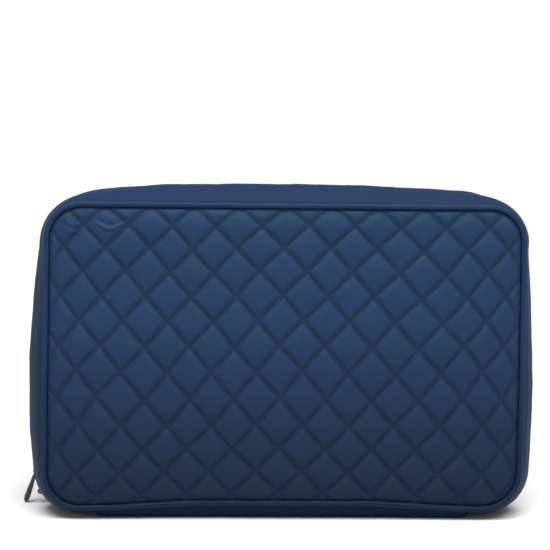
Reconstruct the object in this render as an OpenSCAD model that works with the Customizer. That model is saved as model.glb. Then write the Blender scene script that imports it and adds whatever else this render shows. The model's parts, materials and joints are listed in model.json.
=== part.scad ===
// Quilted nylon shoe bag that stands on its long edge: two padded shells joined
// by a base panel, closed by a two-way zip round the sides and top.
// Millimetres. X to the right, Y from front to rear, Z up, origin at the centre
// of the base panel, on the surface that the bag stands on.

/* [Bag] */
// Half of the width across the side seams
half_w = 182.5; // [150:0.5:210]
// Height of the lower seam above the floor
seam_low = 8.5; // [8.5:0.5:11]
// Height of the upper seam above the floor
seam_high = 243.5; // [220:0.5:290]
// Radius of the top corners of the panels
top_r = 27; // [24:1:32]
// Radius of the bottom corners of the panels
bottom_r = 32; // [28:1:34]
// How far the padded gusset stands out at the middle of the sides
side_bulge = 13; // [4:0.5:16]
// How far the padded gusset stands out along the top
top_bulge = 10; // [4:0.5:12]

/* [Cloth] */
// Thickness of the padded gusset
gusset_t = 2.5; // [2:0.1:3]
// Thickness of the quilted shell with its wadding
quilt_t = 5; // [4:0.5:5]
// Radius of the piping round each panel
piping_r = 2; // [1.8:0.1:2]
// Radius of the cord inside the piping
piping_cord_r = 1.2; // [1:0.1:1.3]

/* [Zip] */
// Half of the space between the two rows of coils
coil_gap = 0.7; // [0.65:0.05:0.8]
// Length of a slider along the zip
slider_len = 11; // [10:0.5:12]
// Half of the width of a slider
slider_half_w = 4.6; // [4.6:0.1:4.8]
// Length of a pull tab from its pivot to its tip
tab_len = 24; // [20:1:26]
// Length of a pull link between its two bars
link_len = 9.5; // [8:0.5:10]

/* [Hidden] */

e = 0.01;
// zip path: where the two rows of coils meet, in the plane y = 0
zip_w = half_w + 1.5;
zip_low = 4;
zip_high = seam_high + 2.5;
zip_rb = 24;
zip_rt = 50;
end_x = 142.5;         // the gusset and the zip stop at the ends of the base panel
y_seam = 55.4;         // depth of the gusset's outer seam
y_zip = 6;             // depth of the gusset's edge beside the zip
tail_z = 48;           // the zip stays closed below this height on the left
upper_z = 35;          // middle of the upper slider
lower_phi = 18;        // the lower slider's place on the corner arc, degrees below level

// ---- outline in the X-Z plane ----
module rr2d(hw, z0, z1, rb, rt) {
    union() {
        translate([-hw + rt, z0 + rb]) square([2*(hw - rt), z1 - z0 - rb]);
        translate([-hw + rb, z0]) square([2*(hw - rb), z1 - z0 - rt]);
        translate([-hw, z0 + rb]) square([2*hw, z1 - z0 - rb - rt]);
        for (s = [-1, 1]) {
            translate([s*(hw - rb), z0 + rb]) circle(r = rb, $fn = 96);
            translate([s*(hw - rt), z1 - rt]) circle(r = rt, $fn = 96);
        }
    }
}
module slab(hw, z0, z1, rb, rt, y0, y1)
    translate([0, y1, 0]) rotate([90, 0, 0]) linear_extrude(height = y1 - y0) rr2d(hw, z0, z1, rb, rt);
module ring(hw, z0, z1, rb, rt, out, inn, y0, y1)
    translate([0, y1, 0]) rotate([90, 0, 0]) linear_extrude(height = y1 - y0) difference() {
        rr2d(hw + out, z0 - out, z1 + out, rb + out, rt + out);
        rr2d(hw - inn, z0 + inn, z1 - inn, rb - inn, rt - inn);
    }

// ---- piping: four straight runs and four quarter turns of one round section ----
module tube_ring(hw, z0, z1, rb, rt, ro, ri, y) {
    difference() {
        union() { tube_solid(hw, z0, z1, rb, rt, ro, y); }
        if (ri > 0) tube_solid(hw, z0, z1, rb, rt, ri, y);
    }
}
module tube_solid(hw, z0, z1, rb, rt, r, y) {
    translate([-hw + rb, y, z0]) rotate([0, 90, 0]) cylinder(r = r, h = 2*(hw - rb), $fn = 32);
    translate([-hw + rt, y, z1]) rotate([0, 90, 0]) cylinder(r = r, h = 2*(hw - rt), $fn = 32);
    for (s = [-1, 1]) {
        translate([s*hw, y, z0 + rb]) cylinder(r = r, h = z1 - z0 - rb - rt, $fn = 32);
        translate([s*(hw - rb), y, z0 + rb]) rotate([90, s > 0 ? 90 : 180, 0])
            rotate_extrude(angle = 90, $fn = 96) translate([rb, 0]) circle(r = r, $fn = 32);
        translate([s*(hw - rt), y, z1 - rt]) rotate([90, s > 0 ? 0 : -90, 0])
            rotate_extrude(angle = 90, $fn = 96) translate([rt, 0]) circle(r = r, $fn = 32);
    }
}

// ---- gusset: a swept strip between the seam and the zip ----
// a station is [run, fraction]; runs go from the left end of the base, up the
// left side, over the top and down the right side
function run_list(n) = [for (i = [0:len(n) - 1]) for (k = [0:n[i] - 1]) [i, k/n[i]]];
STA = concat(run_list([1, 6, 7, 6, 10, 6, 7, 6, 1]), [[8, 1]]);
function on_path(s, hw, z0, z1, rb, rt) =
    let(f = s[1], i = s[0],
        a = i == 1 ? 270 - 90*f : i == 3 ? 180 - 90*f : i == 5 ? 90 - 90*f : -90*f)
    i == 0 ? [-end_x + f*(end_x - (hw - rb)), z0, 0, -1] :
    i == 1 ? [-(hw - rb) + rb*cos(a), z0 + rb + rb*sin(a), cos(a), sin(a)] :
    i == 2 ? [-hw, z0 + rb + f*(z1 - rt - z0 - rb), -1, 0] :
    i == 3 ? [-(hw - rt) + rt*cos(a), z1 - rt + rt*sin(a), cos(a), sin(a)] :
    i == 4 ? [-(hw - rt) + f*2*(hw - rt), z1, 0, 1] :
    i == 5 ? [hw - rt + rt*cos(a), z1 - rt + rt*sin(a), cos(a), sin(a)] :
    i == 6 ? [hw, z1 - rt - f*(z1 - rt - z0 - rb), 1, 0] :
    i == 7 ? [hw - rb + rb*cos(a), z0 + rb + rb*sin(a), cos(a), sin(a)] :
             [hw - rb + f*(end_x - (hw - rb)), z0, 0, -1];
// height of the bulge at a station
function swell(s) =
    let(f = s[1], i = s[0])
    i == 0 || i == 8 ? 1 :
    i == 1 ? 1 + 8*pow(f, 1.6) :
    i == 2 ? 9 + (side_bulge - 9)*sin(180*pow(f, 0.8)) - 6*pow(f, 3) :
    i == 3 ? 3 - 1.5*sin(180*f) :
    i == 4 ? 3 + (top_bulge - 3)*sin(180*f) :
    i == 5 ? 3 - 1.5*sin(180*f) :
    i == 6 ? 9 + (side_bulge - 9)*sin(180*pow(1 - f, 0.8)) - 6*pow(1 - f, 3) :
             1 + 8*pow(1 - f, 1.6);
function profile(v) = pow(sin(180*pow(v, 1.05)), 0.8);
// one point of the strip: station s, place v from seam to zip, depth d below the outer face
function strip_pt(s, v, d, side) =
    let(p = on_path(s, half_w, seam_low, seam_high, bottom_r, top_r),
        q = on_path(s, zip_w, zip_low, zip_high, zip_rb, zip_rt),
        w = v*v*(3 - 2*v),
        nx = p[2]*(1 - v) + q[2]*v, nz = p[3]*(1 - v) + q[3]*v,
        nl = max(0.001, sqrt(nx*nx + nz*nz)),
        b = swell(s)*profile(v) - d)
    [p[0]*(1 - w) + q[0]*w + b*nx/nl, side*(y_seam + (y_zip - y_seam)*v), p[1]*(1 - w) + q[1]*w + b*nz/nl];
// the same, on the straight chords between the strip's nine rows, so that layers stay parallel
function row_pt(s, v, d, side) =
    let(k = min(7, floor(v*8)), t = v*8 - k)
    strip_pt(s, k/8, d, side)*(1 - t) + strip_pt(s, (k + 1)/8, d, side)*t;
module strip(d0, d1, side, v1 = 1, v0 = 0) {
    m = 9;
    rows = [for (k = [0:m - 1]) k == 0 ? v0 : k == m - 1 ? v1 : k/(m - 1)];
    sec = concat([for (k = [0:m - 1]) [rows[k], d0]],
                 [for (k = [m - 1:-1:0]) [rows[k], d1]]);
    c = len(sec);
    n = len(STA);
    pts = [for (s = STA) for (q = sec) row_pt(s, q[0], q[1], side)];
    walls = [for (i = [0:n - 2]) for (k = [0:c - 1])
        let(a = i*c + k, b = i*c + (k + 1) % c, d = a + c, g = b + c)
        each (k < m - 1 ?
            (side < 0 ? [[a, b, g], [a, g, d]] : [[a, g, b], [a, d, g]]) :
            (side < 0 ? [[a, b, d], [b, g, d]] : [[a, d, b], [b, d, g]]))];
    capa = [for (k = [0:m - 2]) let(a = k, b = k + 1, g = c - 2 - k, d = c - 1 - k)
        each (side < 0 ? [[a, g, b], [a, d, g]] : [[a, b, g], [a, g, d]])];
    o = (n - 1)*c;
    capb = [for (k = [0:m - 2]) let(a = o + k, b = o + k + 1, g = o + c - 2 - k, d = o + c - 1 - k)
        each (side < 0 ? [[a, b, g], [a, g, d]] : [[a, g, b], [a, d, g]])];
    polyhedron(points = pts, faces = concat(walls, capa, capb), convexity = 10);
}

// ---- zip: tape and coil are flat rings that follow the zip path ----
module zip_ring(half, y0, y1, side) {
    a = side < 0 ? -y1 : y0;
    b = side < 0 ? -y0 : y1;
    ring(zip_w, zip_low, zip_high, zip_rb, zip_rt, half, half, a, b);
}
module main_cut(side) {
    // opens the ring over the base panel, and on the front also over the closed tail
    translate([-end_x, -20, -20]) cube([2*end_x, 40, 40]);
    if (side < 0) translate([-230, -20, -20]) cube([100, 40, 20 + tail_z]);
}
module zip_strip(half, y0, y1, side) difference() {
    zip_ring(half, y0, y1, side);
    main_cut(side);
}
module zip_tail(half, y0, y1) intersection() {
    zip_ring(half, y0, y1, -1);
    translate([-230, -20, -20]) cube([230 - end_x, 40, 20 + tail_z - 0.4]);
}

// ---- slider, drawn with its run along Z, outside along +X, nose (divider) towards +Z ----
module slider_shell() {
    h = slider_len/2;
    difference() {
        union() {
            for (s = [-1, 1]) translate([s > 0 ? 1.8 : -2.9, -slider_half_w, -h])
                cube([1.1, 2*slider_half_w, slider_len]);
            for (s = [-1, 1]) translate([1.0, s > 0 ? slider_half_w - 1 : -slider_half_w, -h]) cube([0.9, 1, slider_len]);
            for (s = [-1, 1]) translate([-1.9, s > 0 ? slider_half_w - 1 : -slider_half_w, -h]) cube([0.9, 1, slider_len]);
            // divider between the two rows of coils
            translate([-1.9, -0.5, h - 3]) cube([3.8, 1, 3]);
            // bridge that holds the pull
            difference() {
                translate([2.8, -1.2, -h + 0.5]) cube([4.1, 2.4, slider_len - 1]);
                translate([2.9, -2, -h + 1.8]) cube([2.8, 4, slider_len - 3.6]);
                for (u = [-1, 1]) translate([7.9, -2, u*(h + 0.2)]) rotate([0, 45, 0]) cube([3, 8, 3], center = true);
            }
        }
        // rounded nose and tail corners of the plates
        for (u = [-1, 1]) for (s = [-1, 1])
            translate([-4, s*slider_half_w, u*h]) rotate([45, 0, 0]) cube([16, 2, 2], center = true);
    }
}
// ---- pull link: a wire loop, pivot bar at the origin, hanging along -Z ----
module pull_link_shape() {
    r = 0.8;
    for (z = [0, -link_len]) translate([0, -3.3, z]) rotate([-90, 0, 0]) cylinder(r = r, h = 6.6, $fn = 32);
    for (s = [-1, 1]) {
        translate([0, s*3.3, -link_len]) cylinder(r = r, h = link_len, $fn = 32);
        for (z = [0, -link_len]) translate([0, s*3.3, z]) sphere(r = r, $fn = 32);
    }
}
// ---- pull tab: eye round the link's lower bar, then a ridged blade, hanging along -Z ----
module pull_tab_shape() {
    difference() {
        union() {
            rotate([90, 0, 0]) cylinder(r = 2.2, h = 4.4, center = true, $fn = 48);
            hull() {
                translate([0, 0, -2.4]) cube([2, 4.4, 1], center = true);
                translate([0, 0, -tab_len + 4]) cube([2.6, 7, 1], center = true);
            }
            hull() {
                translate([0, 0, -tab_len + 4]) cube([2.6, 7, 1], center = true);
                translate([0, 0, -tab_len + 0.5]) cube([2.6, 5.4, 1], center = true);
            }
            hull() {
                translate([0, 0, -4]) cube([2.4, 1, 1], center = true);
                translate([0, 0, -tab_len + 3]) cube([3.4, 2.4, 1], center = true);
            }
        }
        rotate([90, 0, 0]) cylinder(r = 1.0, h = 12, center = true, $fn = 48);
    }
}

// places of the two sliders on the zip, and the pivots of their pulls
module at_upper() translate([-zip_w, 0, upper_z]) rotate([0, 0, 180]) children();
module at_lower() translate([-(zip_w - zip_rb), 0, zip_low + zip_rb]) rotate([0, -lower_phi, 0])
    translate([-zip_rb + 0.3, 0, 0]) rotate([0, 0, 180]) children();
pivot_r = 4.4;
pivot_t = 2.5;
link_tilt_a = 43;
tab_tilt_a = 18.8;
link_tilt_b = 35;
tab_tilt_b = -72;
ua = [-zip_w - pivot_r, 0, upper_z - pivot_t];
ea = ua + link_len*[-sin(link_tilt_a), 0, -cos(link_tilt_a)];
ub = [-(zip_w - zip_rb) - (zip_rb - 0.3 + pivot_r)*cos(lower_phi) + pivot_t*sin(lower_phi), 0,
      zip_low + zip_rb - (zip_rb - 0.3 + pivot_r)*sin(lower_phi) - pivot_t*cos(lower_phi)];
eb = ub + link_len*[-sin(link_tilt_b), 0, -cos(link_tilt_b)];

navy = "#24406a";
// ---- front shell ----
module front_quilt_panel() color(navy) slab(half_w - 3.2, seam_low + 3.2, seam_high - 3.2, bottom_r - 3.2, top_r - 3.2, -60, -60 + quilt_t);
module front_foam_sheet() color("#d8d8d2") slab(half_w - 3.6, seam_low + 3.6, seam_high - 3.6, bottom_r - 3.6, top_r - 3.6, -54.8, -52.8);
module front_lining() color("#1b2c49") slab(half_w - 3.6, seam_low + 3.6, seam_high - 3.6, bottom_r - 3.6, top_r - 3.6, -52.5, -51.5);
module front_piping() color("#1d3558") tube_ring(half_w - 1, seam_low + 1, seam_high - 1, bottom_r - 1, top_r - 1, piping_r, piping_cord_r + 0.02, -57.6);
module front_piping_cord() color("#e6e4dc") tube_solid(half_w - 1, seam_low + 1, seam_high - 1, bottom_r - 1, top_r - 1, piping_cord_r, -57.6);
module front_gusset() color(navy) strip(0, gusset_t, -1);
module front_gusset_lining() color("#1b2c49") strip(gusset_t + 0.35, gusset_t + 1.3, -1, 0.97, 0.06);
module front_seam_binding() color("#16243c") difference() {
    ring(half_w - 4.4, seam_low + 4.4, seam_high - 4.4, bottom_r - 4.4, top_r - 4.4, 0, 1.4, -51.2, -46);
}
module front_zip_tape() color("#1a2b47") zip_strip(0.4, 2.65, 5.7, -1);
module front_zip_coil() color("#15233b") zip_strip(1.2, coil_gap, 2.6, -1);
// ---- rear shell ----
module rear_quilt_panel() color(navy) slab(half_w - 3.2, seam_low + 3.2, seam_high - 3.2, bottom_r - 3.2, top_r - 3.2, 60 - quilt_t, 60);
module rear_foam_sheet() color("#d8d8d2") slab(half_w - 3.6, seam_low + 3.6, seam_high - 3.6, bottom_r - 3.6, top_r - 3.6, 52.8, 54.8);
module rear_lining() color("#1b2c49") slab(half_w - 3.6, seam_low + 3.6, seam_high - 3.6, bottom_r - 3.6, top_r - 3.6, 51.5, 52.5);
module rear_piping() color("#1d3558") tube_ring(half_w - 1, seam_low + 1, seam_high - 1, bottom_r - 1, top_r - 1, piping_r, piping_cord_r + 0.02, 57.6);
module rear_piping_cord() color("#e6e4dc") tube_solid(half_w - 1, seam_low + 1, seam_high - 1, bottom_r - 1, top_r - 1, piping_cord_r, 57.6);
module rear_gusset() color(navy) strip(0, gusset_t, 1);
module rear_gusset_lining() color("#1b2c49") strip(gusset_t + 0.35, gusset_t + 1.3, 1, 0.97, 0.06);
module rear_seam_binding() color("#16243c") ring(half_w - 4.4, seam_low + 4.4, seam_high - 4.4, bottom_r - 4.4, top_r - 4.4, 0, 1.4, 46, 51.2);
module rear_zip_tape() color("#1a2b47") zip_strip(0.4, 2.65, 5.7, 1);
module rear_zip_coil() color("#15233b") zip_strip(1.2, coil_gap, 2.6, 1);
// ---- the end of the zip that stays closed, at the lower left ----
module zip_tail_tape() color("#1a2b47") zip_tail(0.4, 2.65, 5.7);
module zip_tail_coil() color("#15233b") zip_tail(1.2, coil_gap, 2.6);
// small patches that finish both ends of the zip against the base panel
module zip_end_patches() color("#16243c") for (s = [-1, 1])
    translate([s*(end_x + 4.7), 0, zip_low - 1.85]) cube([8.6, 11, 0.9], center = true);
// ---- base ----
base_h = seam_low - 0.5;
module base_profile() polygon([[-55, base_h], [-52, base_h/2], [-46, 0], [46, 0], [52, base_h/2], [55, base_h],
                               [52.4, base_h], [50.2, base_h/2 + 1.3], [45, 2.5], [-45, 2.5], [-50.2, base_h/2 + 1.3], [-52.4, base_h]]);
module base_panel() color("#14253f") translate([-end_x + 0.5, 0, 0]) rotate([90, 0, 90]) linear_extrude(height = 2*end_x - 1) base_profile();
module base_board() color("#5c6066") translate([-136, -44, 2.7]) cube([272, 88, 1.4]);
module base_lining() color("#1b2c49") translate([-138, -44.5, 4.3]) cube([276, 89, 0.8]);
// ---- pulls ----
module upper_slider_body() color("silver") at_upper() mirror([0, 0, 1]) slider_shell();
module upper_pull_link() color("silver") translate(ua) rotate([0, link_tilt_a, 0]) pull_link_shape();
module upper_pull_tab() color("silver") translate(ea) rotate([0, tab_tilt_a, 0]) pull_tab_shape();
module lower_slider_body() color("silver") at_lower() slider_shell();
module lower_pull_link() color("silver") translate(ub) rotate([0, link_tilt_b, 0]) pull_link_shape();
module lower_pull_tab() color("silver") translate(eb) rotate([0, tab_tilt_b, 0]) pull_tab_shape();

front_quilt_panel();
front_foam_sheet();
front_lining();
front_piping();
front_piping_cord();
front_gusset();
front_gusset_lining();
front_seam_binding();
front_zip_tape();
front_zip_coil();
rear_quilt_panel();
rear_foam_sheet();
rear_lining();
rear_piping();
rear_piping_cord();
rear_gusset();
rear_gusset_lining();
rear_seam_binding();
rear_zip_tape();
rear_zip_coil();
zip_tail_tape();
zip_tail_coil();
zip_end_patches();
base_panel();
base_board();
base_lining();
upper_slider_body();
upper_pull_link();
upper_pull_tab();
lower_slider_body();
lower_pull_link();
lower_pull_tab();
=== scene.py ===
import bpy, bmesh, json, math
import numpy as np
from mathutils import Vector, Matrix


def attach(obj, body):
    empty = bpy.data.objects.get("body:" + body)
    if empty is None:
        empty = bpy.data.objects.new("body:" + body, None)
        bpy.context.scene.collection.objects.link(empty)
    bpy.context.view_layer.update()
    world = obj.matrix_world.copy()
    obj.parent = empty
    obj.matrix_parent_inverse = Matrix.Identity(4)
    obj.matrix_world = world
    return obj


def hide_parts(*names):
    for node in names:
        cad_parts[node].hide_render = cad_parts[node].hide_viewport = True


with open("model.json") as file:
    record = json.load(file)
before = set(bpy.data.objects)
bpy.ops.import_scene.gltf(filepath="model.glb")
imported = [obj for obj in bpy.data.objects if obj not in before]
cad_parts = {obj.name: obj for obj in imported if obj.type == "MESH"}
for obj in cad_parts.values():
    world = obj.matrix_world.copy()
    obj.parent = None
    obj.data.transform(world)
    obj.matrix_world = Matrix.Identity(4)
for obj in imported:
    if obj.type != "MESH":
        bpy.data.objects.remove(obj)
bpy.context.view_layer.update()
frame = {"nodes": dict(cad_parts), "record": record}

MM = 0.001
rng = np.random.default_rng(7)

# ------------------------------------------------------------------ helpers
def mesh_obj(name, verts, faces, smooth=True, attrs=None):
    """verts in millimetres; faces is a list, or an (n, 4) array."""
    me = bpy.data.meshes.new(name)
    v = np.asarray(verts, float) * MM
    if isinstance(faces, np.ndarray):
        faces = faces.tolist()
    me.from_pydata(v.tolist(), [], faces)
    me.validate()
    me.update()
    if smooth:
        me.polygons.foreach_set("use_smooth", [True] * len(me.polygons))
    for key, val in (attrs or {}).items():
        a = me.attributes.new(key, "FLOAT", "POINT")
        a.data.foreach_set("value", np.asarray(val, np.float32))
    o = bpy.data.objects.new(name, me)
    bpy.context.scene.collection.objects.link(o)
    return o

def fix_normals(o):
    bm = bmesh.new(); bm.from_mesh(o.data)
    bmesh.ops.recalc_face_normals(bm, faces=bm.faces)
    bm.to_mesh(o.data); bm.free()

def grid_faces(n, m, close_n=False, close_m=False):
    """quads of an n by m grid of points, index i * m + k"""
    i = np.arange(n if close_n else n - 1)
    k = np.arange(m if close_m else m - 1)
    I, K = np.meshgrid(i, k, indexing="ij")
    I2, K2 = (I + 1) % n, (K + 1) % m
    return np.stack([I * m + K, I2 * m + K, I2 * m + K2, I * m + K2], -1).reshape(-1, 4)

def smoothstep(t):
    t = np.clip(t, 0, 1)
    return t * t * (3 - 2 * t)

def make_noise(seed, waves, lo, hi):
    """a smooth seeded noise of two variables in mm; wavelengths from lo to hi; about -1..1"""
    r = np.random.default_rng(seed)
    lam = np.exp(r.uniform(np.log(lo), np.log(hi), waves))
    th = r.uniform(0, 2 * np.pi, waves)
    ph = r.uniform(0, 2 * np.pi, waves)
    kx, kz = 2 * np.pi / lam * np.cos(th), 2 * np.pi / lam * np.sin(th)
    amp = lam ** 0.5
    amp = amp / np.sqrt((amp ** 2).sum())
    def f(x, z):
        x = np.asarray(x, float); z = np.asarray(z, float)
        out = np.zeros(np.broadcast(x, z).shape)
        for a, p, q, s in zip(amp, kx, kz, ph):
            out = out + a * np.sin(p * x + q * z + s)
        return out
    return f

# ------------------------------------------------------------------ outline of the bag
HW, Z0, Z1 = 182.5, 8.5, 241.7
R_TL, R_TR, R_BL, R_BR = 27.0, 27.0, 27.5, 29.0
END_X = 142.5

def outline(hw, z0, z1, rtl, rtr, rbl, rbr, counts, x_end=None, closed=False):
    """stations clockwise seen from the front: base left end, left corner, left side, top, right side, right corner, base right end.
    returns points (n, 2), normals (n, 2), run numbers and fractions"""
    pts, nor, run, fra = [], [], [], []
    xe = x_end if x_end is not None else 0.0
    for i, n in enumerate(counts):
        f = np.arange(n) / n
        if i == 8 and not closed:
            f = np.arange(n + 1) / n
        if i in (1, 3, 5, 7):
            cx, cz, r, a0 = {1: (-(hw - rbl), z0 + rbl, rbl, 270), 3: (-(hw - rtl), z1 - rtl, rtl, 180),
                             5: (hw - rtr, z1 - rtr, rtr, 90), 7: (hw - rbr, z0 + rbr, rbr, 0)}[i]
            a = np.radians(a0 - 90 * f)
            x, z, nx, nz = cx + r * np.cos(a), cz + r * np.sin(a), np.cos(a), np.sin(a)
        else:
            A, B, N = {0: ((-xe, z0), (-(hw - rbl), z0), (0, -1)), 2: ((-hw, z0 + rbl), (-hw, z1 - rtl), (-1, 0)),
                       4: ((-(hw - rtl), z1), (hw - rtr, z1), (0, 1)), 6: ((hw, z1 - rtr), (hw, z0 + rbr), (1, 0)),
                       8: ((hw - rbr, z0), (xe, z0), (0, -1))}[i]
            x, z = A[0] + f * (B[0] - A[0]), A[1] + f * (B[1] - A[1])
            nx, nz = np.full(len(f), N[0], float), np.full(len(f), N[1], float)
        pts.append(np.stack([x, z], 1)); nor.append(np.stack([nx, nz], 1))
        run.append(np.full(len(f), i)); fra.append(f)
    return np.concatenate(pts), np.concatenate(nor), np.concatenate(run), np.concatenate(fra)

def sdf_in(x, z, hw, z0, z1, rtl, rtr, rbl, rbr):
    """distance inside the rounded outline"""
    cz = (z0 + z1) / 2; hz = (z1 - z0) / 2
    r = np.where(z > cz, np.where(x < 0, rtl, rtr), np.where(x < 0, rbl, rbr))
    qx, qz = np.abs(x) - (hw - r), np.abs(z - cz) - (hz - r)
    return -(np.hypot(np.maximum(qx, 0), np.maximum(qz, 0)) + np.minimum(np.maximum(qx, qz), 0) - r)

def arc_length(p):
    return np.concatenate([[0], np.cumsum(np.linalg.norm(np.diff(p, axis=0), axis=1))])

# ------------------------------------------------------------------ materials
def nodes_of(mat):
    mat.use_nodes = True
    nt = mat.node_tree
    nt.nodes.clear()
    return nt, nt.nodes, nt.links

def cloth(name, base, dark, rough=0.62, falloff=1.0, sheen=0.25, weave=0.42, weave_str=0.25, grain=0.35, crease_shade=0.0, spec=0.35, mottled=0.10, turn=0.0, sheen_tint=(0.55, 0.68, 0.95, 1)):
    """woven nylon: two crossed sets of threads in the bump, soft colour changes, painted shade in the creases marked on
    the mesh and towards the floor
    """
    mat = bpy.data.materials.new(name)
    nt, N, L = nodes_of(mat)
    out = N.new("ShaderNodeOutputMaterial")
    b = N.new("ShaderNodeBsdfPrincipled")
    L.new(b.outputs[0], out.inputs[0])
    b.inputs["Sheen Weight"].default_value = sheen
    b.inputs["Sheen Roughness"].default_value = 0.45
    b.inputs["Sheen Tint"].default_value = sheen_tint
    b.inputs["Specular IOR Level"].default_value = spec
    tc = N.new("ShaderNodeTexCoord")
    mp = N.new("ShaderNodeMapping"); mp.inputs["Rotation"].default_value = (0, turn, 0)
    L.new(tc.outputs["Object"], mp.inputs[0])
    # colour: slow fading and fine thread flecks
    n1 = N.new("ShaderNodeTexNoise"); n1.inputs["Scale"].default_value = 16; n1.inputs["Detail"].default_value = 3
    n2 = N.new("ShaderNodeTexNoise"); n2.inputs["Scale"].default_value = 900; n2.inputs["Detail"].default_value = 2
    L.new(mp.outputs[0], n1.inputs["Vector"]); L.new(mp.outputs[0], n2.inputs["Vector"])
    mix1 = N.new("ShaderNodeMix"); mix1.data_type = "RGBA"
    mix1.inputs[6].default_value = (*dark, 1); mix1.inputs[7].default_value = (*base, 1)
    mr = N.new("ShaderNodeMapRange"); mr.inputs[1].default_value = 0.3; mr.inputs[2].default_value = 0.7
    mr.inputs[3].default_value = 1 - 4 * mottled; mr.inputs[4].default_value = 1.0
    L.new(n1.outputs[0], mr.inputs[0]); L.new(mr.outputs[0], mix1.inputs[0])
    mix2 = N.new("ShaderNodeMix"); mix2.data_type = "RGBA"; mix2.blend_type = "MULTIPLY"; mix2.inputs[0].default_value = 1.0
    mr2 = N.new("ShaderNodeMapRange"); mr2.inputs[1].default_value = 0.3; mr2.inputs[2].default_value = 0.7
    mr2.inputs[3].default_value = 1 - grain * 0.5; mr2.inputs[4].default_value = 1.0
    L.new(n2.outputs[0], mr2.inputs[0])
    L.new(mix1.outputs[2], mix2.inputs[6]); L.new(mr2.outputs[0], mix2.inputs[7])
    col = mix2.outputs[2]
    # painted shade: the colour is pulled towards a darker tone where the mesh marks grooves and seams
    if crease_shade > 0:
        at = N.new("ShaderNodeAttribute"); at.attribute_name = "crease_shade"
        m3 = N.new("ShaderNodeMix"); m3.data_type = "RGBA"
        m3.inputs[7].default_value = (*[c * (1 - crease_shade) for c in dark], 1)
        L.new(at.outputs["Fac"], m3.inputs[0]); L.new(col, m3.inputs[6])
        col = m3.outputs[2]
    if falloff < 1:
        # painted shade: the cloth colour is darkened towards the floor, standing in for the light from above falling
        # off there
        sz = N.new("ShaderNodeSeparateXYZ"); L.new(tc.outputs["Object"], sz.inputs[0])
        mf = N.new("ShaderNodeMapRange"); mf.inputs[1].default_value = 0.0; mf.inputs[2].default_value = 0.15
        mf.inputs[3].default_value = falloff; mf.inputs[4].default_value = 1.0
        L.new(sz.outputs[2], mf.inputs[0])
        m4 = N.new("ShaderNodeMix"); m4.data_type = "RGBA"; m4.blend_type = "MULTIPLY"; m4.inputs[0].default_value = 1.0
        L.new(col, m4.inputs[6]); L.new(mf.outputs[0], m4.inputs[7])
        col = m4.outputs[2]
    L.new(col, b.inputs["Base Color"])
    # weave
    w = []
    for ax in ("X", "Z"):
        t = N.new("ShaderNodeTexWave"); t.wave_type = "BANDS"; t.bands_direction = ax
        t.inputs["Scale"].default_value = 1.0 / (weave * MM) / 6.2832 * 2
        t.inputs["Distortion"].default_value = 0.6; t.inputs["Detail"].default_value = 1
        L.new(mp.outputs[0], t.inputs["Vector"]); w.append(t)
    mx = N.new("ShaderNodeMath"); mx.operation = "MAXIMUM"
    L.new(w[0].outputs["Fac"], mx.inputs[0]); L.new(w[1].outputs["Fac"], mx.inputs[1])
    bm1 = N.new("ShaderNodeBump"); bm1.inputs["Strength"].default_value = weave_str; bm1.inputs["Distance"].default_value = 0.00008
    L.new(mx.outputs[0], bm1.inputs["Height"])
    n3 = N.new("ShaderNodeTexNoise"); n3.inputs["Scale"].default_value = 220; n3.inputs["Detail"].default_value = 4
    L.new(mp.outputs[0], n3.inputs["Vector"])
    bm2 = N.new("ShaderNodeBump"); bm2.inputs["Strength"].default_value = 0.22; bm2.inputs["Distance"].default_value = 0.0006
    L.new(n3.outputs[0], bm2.inputs["Height"]); L.new(bm1.outputs[0], bm2.inputs["Normal"])
    L.new(bm2.outputs[0], b.inputs["Normal"])
    # roughness follows the threads a little
    mr3 = N.new("ShaderNodeMapRange"); mr3.inputs[3].default_value = rough - 0.07; mr3.inputs[4].default_value = rough + 0.09
    L.new(n2.outputs[0], mr3.inputs[0]); L.new(mr3.outputs[0], b.inputs["Roughness"])
    return mat

def metal(name, base=(0.62, 0.63, 0.65), rough=0.14):
    mat = bpy.data.materials.new(name)
    nt, N, L = nodes_of(mat)
    out = N.new("ShaderNodeOutputMaterial"); b = N.new("ShaderNodeBsdfPrincipled")
    L.new(b.outputs[0], out.inputs[0])
    b.inputs["Metallic"].default_value = 1.0
    tc = N.new("ShaderNodeTexCoord")
    n1 = N.new("ShaderNodeTexNoise"); n1.inputs["Scale"].default_value = 700; n1.inputs["Detail"].default_value = 5
    n2 = N.new("ShaderNodeTexNoise"); n2.inputs["Scale"].default_value = 120; n2.inputs["Detail"].default_value = 2
    L.new(tc.outputs["Object"], n1.inputs["Vector"]); L.new(tc.outputs["Object"], n2.inputs["Vector"])
    mr = N.new("ShaderNodeMapRange"); mr.inputs[1].default_value = 0.35; mr.inputs[2].default_value = 0.75
    mr.inputs[3].default_value = rough * 0.7; mr.inputs[4].default_value = rough * 1.9
    L.new(n1.outputs[0], mr.inputs[0]); L.new(mr.outputs[0], b.inputs["Roughness"])
    mix = N.new("ShaderNodeMix"); mix.data_type = "RGBA"
    mix.inputs[6].default_value = (*[c * 0.78 for c in base], 1); mix.inputs[7].default_value = (*base, 1)
    L.new(n2.outputs[0], mix.inputs[0]); L.new(mix.outputs[2], b.inputs["Base Color"])
    bp = N.new("ShaderNodeBump"); bp.inputs["Strength"].default_value = 0.08; bp.inputs["Distance"].default_value = 0.0002
    L.new(n2.outputs[0], bp.inputs["Height"]); L.new(bp.outputs[0], b.inputs["Normal"])
    return mat

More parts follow.
